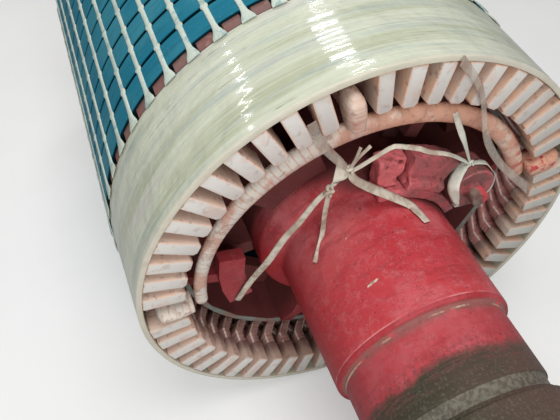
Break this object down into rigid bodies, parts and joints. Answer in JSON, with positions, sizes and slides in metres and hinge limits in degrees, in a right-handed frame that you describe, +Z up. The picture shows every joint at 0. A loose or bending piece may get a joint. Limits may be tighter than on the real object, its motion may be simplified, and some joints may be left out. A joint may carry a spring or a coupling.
{
  "type": "wound rotor of a slip-ring motor",
  "caption": "Wound rotor on its shaft: ducted blue core, glass-banded end windings with copper clips, star ring and red-painted spider.",
  "frame": {"origin": "middle of the core's length, on the shaft's axis", "axes": "+X along the shaft towards the star-ring end, +Z up, +Y to the side"},
  "size_m": [2.944, 0.8634, 0.8642],
  "materials": {
    "core_paint": "satin",
    "red_enamel": "gloss",
    "shaft_steel": "gloss",
    "finger_steel": "matt",
    "bar_insulation": "varnished tape",
    "clip_copper": "tinned and varnished",
    "glass_banding": "gloss resin",
    "wedge_laminate": "satin laminate",
    "lashing_tape": "woven cotton tape",
    "resin_tape": "resin soaked tape"
  },
  "bodies": {
    "root": {"core_packet_01": "core_paint", "core_packet_02": "core_paint", "core_packet_03": "core_paint", "core_packet_04": "core_paint", "core_packet_05": "core_paint", "core_packet_06": "core_paint", "core_packet_07": "core_paint", "core_packet_08": "core_paint", "core_packet_09": "core_paint", "core_packet_10": "core_paint", "core_packet_11": "core_paint", "core_packet_12": "core_paint", "end_plate_near": "red_enamel", "tooth_fingers_near": "finger_steel", "support_ring_near": "red_enamel", "ring_brackets_near": "red_enamel", "lower_bars_near": "bar_insulation", "upper_bars_near": "bar_insulation", "bar_clips_near": "clip_copper", "banding_near": "glass_banding", "end_plate_far": "red_enamel", "tooth_fingers_far": "finger_steel", "support_ring_far": "red_enamel", "ring_brackets_far": "red_enamel", "lower_bars_far": "bar_insulation", "upper_bars_far": "bar_insulation", "bar_clips_far": "clip_copper", "banding_far": "glass_banding", "shaft": "shaft_steel", "spider_arms": "red_enamel", "slot_wedges": "wedge_laminate", "star_ring": "resin_tape", "star_tap_left": "resin_tape", "star_tap_top": "resin_tape", "star_tap_right": "resin_tape", "lead_clamp_base": "red_enamel", "lead_clamp_jaws": "red_enamel", "lead_clamp_bolt": "red_enamel", "lashing_tapes": "lashing_tape"}
  },
  "joints": []
}
